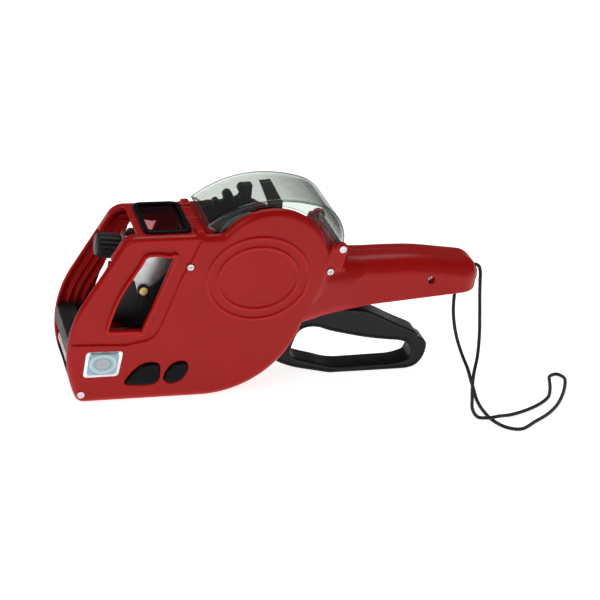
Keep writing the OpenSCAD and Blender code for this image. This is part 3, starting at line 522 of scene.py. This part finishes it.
def body_outline():
    """The belly, the flat top, the brow, the round nose and the toe, as one closed outline."""
    sin, cos = math.sin(math.radians(BROW_TURN)), math.cos(math.radians(BROW_TURN))
    brow_x = (NOSE[0] + NOSE_R * cos + BROW_R * sin
              + (BROW_Z - NOSE[1] - NOSE_R * sin - BROW_R * cos) * sin / -cos)
    toe_x = NOSE[0] - math.sqrt((NOSE_R - TOE_R) ** 2 - (NOSE[1] - TOE_R) ** 2)
    toe_a = math.degrees(math.atan2(TOE_R - NOSE[1], toe_x - NOSE[0])) + 360
    return (arc((-42, 55.7), 55.7, 270, 341, 40) + [(14, 60), (HUMP[0], 92.5)]
            + arc((brow_x, BROW_Z), BROW_R, 90, BROW_TURN, 14) + arc(NOSE, NOSE_R, BROW_TURN, toe_a, 44)
            + arc((toe_x, TOE_R), TOE_R, toe_a, 270, 12))


HANDLE_TOP = [(18, 72.5), (32, 71), (45, 70.3), (62, 70.4), (78, 69.9), (93, 68)]
HANDLE = [(18, 25)] + softened(HANDLE_TOP, 6, False) + arc((103, 56.5), 10, 80, -20, 24) + [(112, 25)]
BLEND = [(-4, 38), (17.5, 38), (46, 41), (46, 63), (19.5, 69), (-4, 73)]
HANDLE_HOLLOW = ((11.8, 10), (9.7, 4.7), (6.5, 2.6))  # half the width, depth below the handle's top


# ---------------------------------------------------------------- shells


LOW_WALL = [(-60, 30), (-60, 92.5), (-8.5, 92.5), (26, 79), (60, 79), (60, 30)]
UNDERSIDE = [(10.7, 40), (23, 41.5), (109.4, 48.8), (140, 52), (140, -20), (10.7, -20)]
OVAL, OVAL_HALF = (-15, 67.7), (26.8, 22.9)
OVAL_INSETS = (0, 5.5)
RIB_DEPTHS = (6.4, 10.2, 14.4)
OPENINGS = [  # outline, half its width, easing of its edge
    ([(-130, 7), (-96, 7), (-70, 40), (-70, 79), (-130, 79)], RIM_W, 1.1),                # front
    ([(-130, 70), (-78, 70), (-78, 110), (-130, 110)], 16.5, 0.8),                        # brow
    ([(BEZEL_X[0] + 1, 79), (BEZEL_X[1] - 1, 79), (BEZEL_X[1] - 1, 110), (BEZEL_X[0] + 1, 110)],
     BEZEL_HALF_W - 1, 0.4),                                                              # top window
    ([(-38, 86), (10, 72), (22, 76.3), (40, 76.3), (40, 120), (-38, 120)], RIM_W, 0.8),   # label bay
    ([(-115, -3), (-46.6, -3), (-46.6, 4), (-96, 9), (-115, 9)], 19.3, 0.5),              # base
    ([(-16, -5), (36, -5), (36, 43.5), (6, 46), (-16, 22)], 8.3, 0.8),                    # lever
]
BOSSES = [  # middle, radius, the two ends as distances from the seam
    (HEAD_PIVOT, 5, 13.6, 18), (LEVER_PIVOT, 5, 14.2, INNER_W), (FEED, 5, 14.6, INNER_W),
    (ROLL, 5, 12.8, INNER_W), (INK, 3.2, 15.4, INNER_W), (SHORT_SCREW, 3.2, 20, INNER_W),
    (LONG_SCREWS[0], 3.2, 0, INNER_W), (LONG_SCREWS[1], 3.2, 0, HANDLE_W - WALL),
]


def outer_form(f, body, handle, hump):
    """Body, drum and handle as one solid, with the cover's hinge ear, shelf and rear ridge."""
    y = f.y
    d = plate(join(body, hump, 2.5), -y - HALF_W, 4)
    grip = plate(handle, -y - HANDLE_W, 10)
    width = np.interp(f.x, (14, 42), (24.3, HANDLE_W)).astype(np.float32)
    wedge = plate(f.outline(BLEND), 0.95 * (-y - width), 8)
    d = np.maximum(join(join(d, wedge, 3), grip, 8), -y - HALF_W)
    d = cut(d, f.outline(UNDERSIDE) + 0 * y, 1.2)
    ear = join(f.disc((COVER_HINGE[0] - 0.4, COVER_HINGE[1] - 0.4), 3.6),
               f.outline([(18, 70), (29, 70), (32, 80), (24, 84)]), 1)
    d = join(d, plate(ear, band(y, -HALF_W + 0.6, -RIM_W - 0.2), 0.8), 2)
    shelf = f.outline([(12, 68), (33, 68), (32, 76), (22, 78), (12, 76)])
    d = join(d, plate(shelf, -y - RIM_W - 0.3, 3), 5)
    ridge = f.outline([(-48.5, 90), (-43.4, 90), (-43.8, 94.2), (-47.9, 94.2)])
    return join(d, plate(ridge, band(y, -RIM_W - 1.5, -14), 0.7), 1)


def hollowed(d, f, body, handle, hump):
    """The solid without its inside, down to the wall's thickness."""
    y = f.y
    d = cut(d, np.maximum(np.minimum(body, hump) + WALL, -y - INNER_W), 0.8)
    for half, inset in HANDLE_HOLLOW:
        d = cut(d, np.maximum(np.maximum(handle + inset, 16 - f.x), -y - half), 0.6)
    d = cut(d, np.maximum(f.outline([(0, 38), (26, 38), (26, 61), (12, 66), (0, 70)]), -y - 11.8), 0.6)
    pocket = f.outline([(0, 42), (12, 42.6), (19.6, 44.4), (22, 60), (22, 71), (0, 72)])
    return cut(d, np.maximum(pocket, -y - 18), 0.6)


def shell_field(f, full):
    """The left half, with the drum's wall as a full circle or kept low behind the cover."""
    y = f.y
    body, handle = f.outline(body_outline()), f.outline(HANDLE)
    hump = f.disc(HUMP, HUMP_R)
    if not full:
        hump = np.maximum(hump, f.outline(LOW_WALL))
    d = hollowed(outer_form(f, body, handle, hump), f, body, handle, hump)
    for points, half, easing in OPENINGS:
        d = cut(d, np.maximum(f.outline(points), -y - half), easing)
    for at, r, inner, outer in BOSSES:
        d = join(d, np.maximum(f.disc(at, r), band(y, -outer - 0.5, -inner)), 0.8)
    # ribs inside the nose, parallel to its front edge
    nose = f.outline([(-112, 36), (-70, 36), (-70, 90), (-112, 90)])
    inside = np.maximum(nose, band(y, -INNER_W - 0.5, -INNER_W + 1.3))
    for depth in RIB_DEPTHS:
        d = join(d, np.maximum(np.abs(body + depth) - 0.75, inside), 0.3)
    # sunk front panel, with a raised frame round the side window
    window = f.outline(softened(WINDOW, 3))
    window_frame = plate(np.maximum(window - 1.9, -window), band(y, -HALF_W - 0.8, -HALF_W + 1.2), 0.5)
    d = cut(d, np.maximum(f.outline(PANEL), y + HALF_W - 0.9), 0.25)
    d = join(d, window_frame, 0.7)
    # raised oval rings on the drum
    oval = f.outline([(OVAL[0] + OVAL_HALF[0] * u, OVAL[1] + OVAL_HALF[1] * v)
                      for u, v in arc((0, 0), 1, 0, 356.25, 95)])
    for inset in OVAL_INSETS:
        d = join(d, plate(np.abs(oval + inset) - 0.7, band(y, -HALF_W - 0.6, -HALF_W + 0.5), 0.25), 0.3)
    # holes for the side window, the latch, the button and the base's hinge pin
    d = cut(d, np.maximum(window, band(y, -HALF_W - 3, -INNER_W + 2)), 0.5)
    for points in (LATCH, BUTTON):
        opening = f.outline(softened(points, 4)) - 0.35
        d = cut(d, np.maximum(opening, band(y, -HALF_W - 1, -INNER_W + 1)), 0.5)
    return cut(d, np.maximum(f.disc(BASE_HINGE, 2.05), band(y, -HALF_W - 1, -HALF_W + 0.7)), 0.3)


SEAM = 0.03                        # from the middle plane to each shell
CORD_HOLE = ((-5, 61.2), 1.5, 106)  # its middle in Y and Z, its radius and where it starts in X


def make_shells():
    step = ((0.6, 0.5, 0.6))
    f = Field((-115, -26.4, -1.8), (115.4, 1.2, 107.4), step)
    seam = f.y + SEAM
    d = shell_field(f, False)
    surface("right_shell_skin", f, -join(-d, -seam, 0.2), "red", "root", ["right_shell"], True)
    d = shell_field(f, True)
    for at in [SHORT_SCREW] + LONG_SCREWS:
        d = cut(d, np.maximum(f.disc(at, 2.0), band(f.y, -30, -10 if at[0] > 30 else -23.4)), 0.4)
    (y, z), r, start = CORD_HOLE
    d = cut(d, np.maximum(np.hypot(f.y - y, f.z - z) - r, start - f.x), 0.5)
    surface("left_shell_skin", f, -join(-d, -seam, 0.2), "red", "root", ["left_shell"])


# ---------------------------------------------------------------- lever, buttons, bezel

LEVER_OUTER = [
    (30, 39), (44, 38), (52, 36.6), (59.5, 33.4), (67.1, 29.4), (74.8, 25.6), (80.5, 22.9), (82.6, 21.2),
    (83, 19.6), (87.4, 16.6), (88.4, 13.3), (87.4, 7.6), (84, 2.6), (79, 0.4), (70.6, 0), (38, 0), (33, 0.2),
    (25.4, 1.9), (16, 4), (10.2, 5.8), (4, 8.6), (-2.4, 14), (-7, 22), (-8.4, 29.5), (-8.4, 36), (-2, 40.8),
    (8, 40.6)]
LEVER_HOLE = [
    (11.5, 18), (14, 25), (18, 28.2), (24.7, 28.4), (32, 25.8), (42.8, 22.9), (53.7, 20.4), (64.5, 18.6),
    (72.6, 17.5), (77, 15.5), (80, 11.5), (79.5, 8), (77.6, 5.8), (70.4, 4), (59.5, 3.7), (45, 3.5),
    (37.9, 3.6), (32, 4.6), (25.4, 6.7), (18.2, 8.8), (13, 10.8), (10.8, 14)]


LEVER_TAIL = [(-4, 28.2), (-16, 29.4), (-21, 32), (-21, 35), (-17, 37), (-4, 40.4)]
LEVER_HALF_W = 7


def make_lever():
    """The black loop with its pivot boss, its inner tail and a shallow groove along each side."""
    f = Field((-23, -8.5, -1.5), (90, 8.5, 43), 0.5)
    outer, hole = f.outline(softened(LEVER_OUTER, 4)), f.outline(softened(LEVER_HOLE, 4))
    loop = np.maximum(outer, -hole)
    d = plate(join(loop, f.outline(LEVER_TAIL), 2), np.abs(f.y) - LEVER_HALF_W, 1.1)
    d = join(d, plate(f.disc(LEVER_PIVOT, 6.6), np.abs(f.y) - LEVER_HALF_W, 0.8), 1)
    groove = plate(np.maximum(loop + 1.6, 7 - f.disc(LEVER_PIVOT, 0)), 6.4 - np.abs(f.y))
    d = np.maximum(cut(d, groove, 0.7), -f.z)
    surface("lever_skin", f, d, "black", "lever", ["hand_lever"])


def make_buttons():
    """The two latches and two release buttons, each crowned, with a flange inside the shell."""
    f = Field((-84, -26.6, 8), (-47, -20, 24), 0.25)
    for kind, points in (("base_latch", LATCH), ("release_button", BUTTON)):
        flat = f.outline(softened(points, 5))
        dome = np.clip(-flat, 0, 4) * 0.12
        d = plate(flat, band(f.y, -HALF_W - 0.95 - dome, -INNER_W + 1.2), 0.9)
        d = join(d, plate(flat - 1.0, band(f.y, -INNER_W + 0.25, -INNER_W + 1.4)))
        for side in ("left", "right"):
            body = ("latch_" if kind == "base_latch" else "button_") + side
            surface(f"{kind}_{side}_skin", f, d, "gloss_black", body, [f"{kind}_{side}"],
                    side == "right")


def make_bezel():
    """The black frame of the top window and its slightly domed lens."""
    f = Field((-76, -21, 87), (-48, 21, 96), 0.35)
    cx, hx, hy = (BEZEL_X[0] + BEZEL_X[1]) / 2, (BEZEL_X[1] - BEZEL_X[0]) / 2, BEZEL_HALF_W

    def box(grow, r):
        qx, qy = np.abs(f.x - cx) - hx - grow + r, np.abs(f.y) - hy - grow + r
        return np.minimum(np.maximum(qx, qy), 0) + np.hypot(np.maximum(qx, 0), np.maximum(qy, 0)) - r
    d = plate(box(0, 5), band(f.z, 92.5, 94), 0.6)
    d = join(d, np.maximum(box(-1.3, 3.6), band(f.z, 88.6, 93)))
    d = cut(d, plate(box(-4, 2), band(f.z, 86, 97)), 0.3)
    d = cut(d, plate(box(-2.6, 3), band(f.z, 91.5, 97)), 0.3)
    surface("bezel_skin", f, d, "gloss_black", "root", ["view_bezel"])
    dome = 0.5 * np.clip(1 - ((f.x - cx) / 10) ** 2, 0, 1) * np.clip(1 - (f.y / 17) ** 2, 0, 1)
    lens = plate(box(-2.65, 2.9), band(f.z, 91.5, 92.9 + dome), 0.3)
    surface("lens_skin", f, lens, "smoked", "root", ["view_lens"])


# ---------------------------------------------------------------- other made pieces


def grid_mesh(name, rows, material, closed=False):
    """A smooth sheet through rows of points in millimetres."""
    n, m = len(rows), len(rows[0])
    mesh = bpy.data.meshes.new(name)
    faces = []
    for i in range(n - 1):
        for j in range(m if closed else m - 1):
            a, b = i * m + j, i * m + (j + 1) % m
            c, d = (i + 1) * m + (j + 1) % m, (i + 1) * m + j
            faces.append((a, b, c, d))
    mesh.from_pydata([tuple(c * MM for c in p) for row in rows for p in row], [], faces)
    mesh.polygons.foreach_set("use_smooth", [True] * len(mesh.polygons))
    mesh.materials.append(MAT[material])
    return bpy.data.objects.new(name, mesh)


def close_ends(piece):
    """Caps the open ends of a tube and turns its faces outwards."""
    bm = bmesh.new()
    bm.from_mesh(piece.data)
    bmesh.ops.holes_fill(bm, edges=[e for e in bm.edges if e.is_boundary], sides=0)
    bmesh.ops.recalc_face_normals(bm, faces=bm.faces)
    bm.to_mesh(piece.data)
    bm.free()


def lathe(name, profile, centre, axis, material, segments, ripple):
    """Turns a profile of (distance along the axis, radius) round an axis, with a ripple in the radius."""
    along = Vector(axis).normalized()
    u = along.orthogonal().normalized()
    v = along.cross(u)
    rows = []
    for i, (s, r) in enumerate(profile):
        row = []
        for k in range(segments):
            a = 2 * math.pi * k / segments
            out = u * math.cos(a) + v * math.sin(a)
            row.append(Vector(centre) + along * s + out * (r + ripple(i, a)))
        rows.append(row)
    piece = grid_mesh(name, rows, material, closed=True)
    close_ends(piece)
    return piece


COVER_TOP, COVER_HALF_W = 109.4, 20.0
SHOULDER_R = 1.2
LOW_FOOT, LOW_SLOPE = 92.9, 0.3913  # foot of the right side: its height in front, and its fall behind
# these shoulder faces, and the cover's first row, carry painted shade: a darker tint of the clear sheet
SHOULDER_COLUMNS = range(6, 11)     # faces of the rounded shoulders, counted from either edge


def cover_line():
    """The cover's top from front to rear, as three arcs in X and Z."""
    front, rear, tail = (-6, 51.2), (-6, 36.4), (9.45, 85.3)
    return (arc(front, COVER_TOP - front[1], 129.4, 90, 40)
            + arc(rear, COVER_TOP - rear[1], 90, 72.6, 14)[1:] + arc(tail, 21.7, 72.4, -8, 40)[1:])


def side_depth(p, to_rim, reach, low):
    """How far a side of the cover runs from the point p towards the drum's middle."""
    depth = reach - HUMP_R - 0.45
    for slope in (0, LOW_SLOPE) if low else ():
        above, fall = p[1] - LOW_FOOT + slope * (p[0] - HUMP[0]), to_rim[1] + slope * to_rim[0]
        if fall < 0:
            depth = max(depth, -above * reach / fall)
    return depth


def cover_row(p, inward):
    """One section across the cover: the left side, its shoulder, the top, and the same on the right."""
    to_rim = np.array(HUMP) - np.array(p)
    reach = np.linalg.norm(to_rim)
    half, r, sides = COVER_HALF_W, SHOULDER_R, []
    for low in (False, True):
        depth = side_depth(p, to_rim, reach, low)
        side = []
        for s in np.linspace(max(depth, 1.8), r, 7)[:-1]:
            q = np.array(p) + to_rim / reach * s if depth > 2.8 else np.array(p) + inward * s
            side.append((q[0], -half, q[1]))
        for a in np.linspace(0, 90, 6):
            s, c = math.sin(math.radians(a)), math.cos(math.radians(a))
            q = np.array(p) + inward * r * (1 - s)
            side.append((q[0], -half + r * (1 - c), q[1]))
        sides.append(side)
    middle = [(p[0], y, p[1]) for y in np.linspace(-half + r, half - r, 14)[1:-1]]
    return sides[0] + middle + [(x, -y, z) for x, y, z in sides[1][::-1]]


def make_cover():
    """The clear cover: a curved sheet with rounded shoulders and side flanges that follow the red rim."""
    line, rows = cover_line(), []
    for i, p in enumerate(line):
        a, b = np.array(line[max(i - 1, 0)]), np.array(line[min(i + 1, len(line) - 1)])
        t = (b - a) / np.linalg.norm(b - a)
        rows.append(cover_row(p, np.array((t[1], -t[0]))))
    piece = grid_mesh("cover_skin", rows, "clear")
    # painted shade: the shoulders and the first row take the darker copy of the clear material
    piece.data.materials.append(MAT["clear_edge_painted_shade"])
    columns = len(rows[0]) - 1
    for face in piece.data.polygons:
        column = face.index % columns
        if min(column, columns - 1 - column) in SHOULDER_COLUMNS or face.index < columns:
            face.material_index = 1
    solid = piece.modifiers.new("wall", "SOLIDIFY")
    solid.thickness = 1.5 * MM
    solid.offset = 1
    solid.use_rim = True
    round_off = piece.modifiers.new("edge", "BEVEL")
    round_off.width = 0.3 * MM
    round_off.segments = 2
    round_off.angle_limit = math.radians(50)
    settle(piece, "cover", ["label_cover"])


HEAD_LIFT = 7.35        # degrees from the head's striking position to rest
KNOB_AT = (-98.9, 65.2)  # in X and Z, with the head in its striking position
KNOB_RIBS = 18


def lifted(x, z):
    """A point on the print head's middle plane, from its striking position to rest."""
    a = math.radians(HEAD_LIFT)
    px, pz = HEAD_PIVOT
    x, z = x - px, z - pz
    return Vector((px + x * math.cos(a) + z * math.sin(a), 0, pz - x * math.sin(a) + z * math.cos(a)))


def make_knob():
    """The selector knob: a turned cap with ribs along its middle."""
    profile = [(0, 0.6), (0, 3.8), (0.3, 4.1), (0, 4.4), (0.05, 5.1), (0.5, 5.6), (1.3, 5.9), (2.2, 6.05),
               (3, 6.15), (7, 6.2), (11, 6.15), (12, 6), (12.9, 5.5), (13.5, 3.5), (14.5, 3.4)]

    def ribs(i, a):
        return 0.42 * max(0.0, math.cos(KNOB_RIBS * a)) ** 0.8 if 7 <= i <= 11 else 0
    x, z = KNOB_AT
    centre, ahead = lifted(x, z), lifted(x + 1, z)
    knob = lathe("knob_skin", profile, centre, ahead - centre, "knob", 12 * KNOB_RIBS, ribs)
    settle(knob, "selector", ["selector_knob"])


STICKER = [(-103, 30.2), (-83.9, 29.9), (-86.2, 15.5), (-104.6, 15.5)]
STICKER_RINGS = [  # from the rim inwards: scale, height over the side face, corner size
    (0.992, -0.1, 2.2), (1, -0.05, 2.2), (1, 0.01, 2.2), (0.99, 0.05, 2.2), (0.84, 0.05, 1.8),
    (0.83, 0.11, 1.8), (0.6, 0.12, 1.4), (0.3, 0.12, 0.7), (0.004, 0.12, 0.01)]
PRINTED_FROM = 5  # the ring where the print starts


def make_sticker():
    """The foil sticker: a plain border and a slightly raised printed middle, with round corners."""
    centre = np.mean(STICKER, axis=0)

    def ring(scale, y, corner):
        pts = [centre + (np.array(p) - centre) * scale for p in STICKER]
        out = []
        for i, p in enumerate(pts):
            a, b = pts[i - 1], pts[(i + 1) % 4]
            s = p + (a - p) / np.linalg.norm(a - p) * corner
            e = p + (b - p) / np.linalg.norm(b - p) * corner
            for t in np.linspace(0, 1, 7):
                out.append((1 - t) ** 2 * s + 2 * t * (1 - t) * p + t * t * e)
        return [(q[0], y, q[1]) for q in out]
    rings = [ring(scale, -HALF_W - height, corner) for scale, height, corner in STICKER_RINGS]
    piece = grid_mesh("sticker_skin", rings, "silver", closed=True)
    piece.data.materials.append(MAT["print"])
    count = len(rings[0])
    for p in piece.data.polygons:
        p.material_index = 1 if p.index // count >= PRINTED_FROM else 0
    settle(piece, "root", ["foil_sticker"])


CORD_R = 0.88       # to the hollows between the strands
STRAND_RISE = 0.12  # from there to the top of a strand
CORD_SIDES = 16
CORD_ROUTE = [
    (102, -6, 57), (101.2, -7, 50), (100.6, -8, 41), (101.4, -9, 31), (104, -10, 20),
    (107.6, -12, 10), (110, -17, 3.5), (109.2, -25, 1.1), (107, -36, 1), (104.6, -48, 1),
    (104, -59, 1), (105.6, -70, 1), (110.4, -78, 1), (118, -80.5, 1), (128, -74, 1),
    (138, -67, 1), (147, -58, 1), (155, -46.5, 1), (161, -35, 1), (162.5, -29, 1),
    (159.8, -25, 1), (155, -27, 1), (152.6, -33, 1), (149.6, -41, 1), (145, -49.6, 1),
    (137, -56.5, 1), (127, -62, 1), (117, -66.4, 1.6), (109, -69.6, 3.1), (103, -70.4, 3),
    (98.6, -66, 1.3), (98.8, -57, 1), (102.6, -46, 1), (107.4, -33, 1.1), (112.4, -21, 2.4),
    (116.6, -13, 9), (117.8, -9, 20), (117.2, -7, 32), (116.2, -6, 43), (115.6, -5.4, 51),
    (115.2, -5, 56.4), (113.8, -5, 60), (111, -5, 61.3), (106.4, -5, 61.2)]


def make_cord():
    """A braided cord: a tube whose surface is raised where its strands cross."""
    coarse = [Vector(p) for p in softened(CORD_ROUTE, 12, False)]
    path = [coarse[0]]
    for a, b in zip(coarse, coarse[1:]):
        for k in range(1, 3):
            path.append(a.lerp(b, k / 2))
    rows, side, run = [], Vector((0, 1, 0)), 0.0
    for i, p in enumerate(path):
        t = (path[min(i + 1, len(path) - 1)] - path[max(i - 1, 0)]).normalized()
        side = (side - t * side.dot(t)).normalized()
        other = t.cross(side)
        run += (p - path[i - 1]).length if i else 0
        row = []
        for k in range(CORD_SIDES):
            a = 2 * math.pi * k / CORD_SIDES
            twist = abs(math.sin(2 * a + run * 1.6)) * 0.5 + abs(math.sin(2 * a - run * 1.6)) * 0.5
            row.append(p + (side * math.cos(a) + other * math.sin(a)) * (CORD_R + STRAND_RISE * twist))
        rows.append(row)
    piece = grid_mesh("wrist_cord_skin", rows, "cord", closed=True)
    close_ends(piece)
    settle(piece, "root", ["wrist_cord"])


# ---------------------------------------------------------------- materials of the CAD nodes

NODE_MATERIALS = {
    "steel": ["shell_screws", "cover_hinge_pin", "roll_shaft", "lever_pivot_pin", "drive_pin",
              "return_spring", "head_pivot_pin", "band_axle", "selector_shaft", "pointer_guide_rod",
              "applicator_axle", "feed_shaft", "base_hinge_pin", "cord_post", "feed_pawl",
              "ratchet_wheel", "platen"],
    "bracket": ["head_bracket", "feed_rocker"],
    "brass": ["detent_spring", "selector_pinion", "bracket_rivets"],
    "grey": ["roll_hub", "type_anvil", "paper_roller"] + [f"band_wheel_{i}" for i in range(1, 7)],
    "inner": ["head_arm", "head_housing", "roll_brake_comb", "roll_tension_arm", "ink_arm", "nose_guard",
              "base_cover", "feed_wheel"],
    "rubber": ["digit_bands", "platen_pad"],
    "pointer_red": ["pointer_carriage"],
    "felt": ["ink_roller"],
    "roller": ["applicator_roller"],
}
SHARP = {"return_spring", "shell_screws"}  # too fine to bevel


def dress_nodes():
    """Gives each CAD node that shows its material, and eases its edges."""
    for material, names in NODE_MATERIALS.items():
        for name in names:
            node = NODES[name]
            node.data.materials.clear()
            node.data.materials.append(MAT[material])
            if name in SHARP:
                continue
            weld = node.modifiers.new("weld", "WELD")
            weld.merge_threshold = 0.002 * MM
            bevel = node.modifiers.new("edges", "BEVEL")
            bevel.width = 0.18 * MM
            bevel.segments = 2
            bevel.limit_method = "ANGLE"
            bevel.angle_limit = math.radians(40)
            bevel.harden_normals = False


make_materials()
make_camera()
make_studio()
make_cord()
make_shells()
make_lever()
make_buttons()
make_bezel()
make_cover()
make_knob()
make_sticker()
dress_nodes()
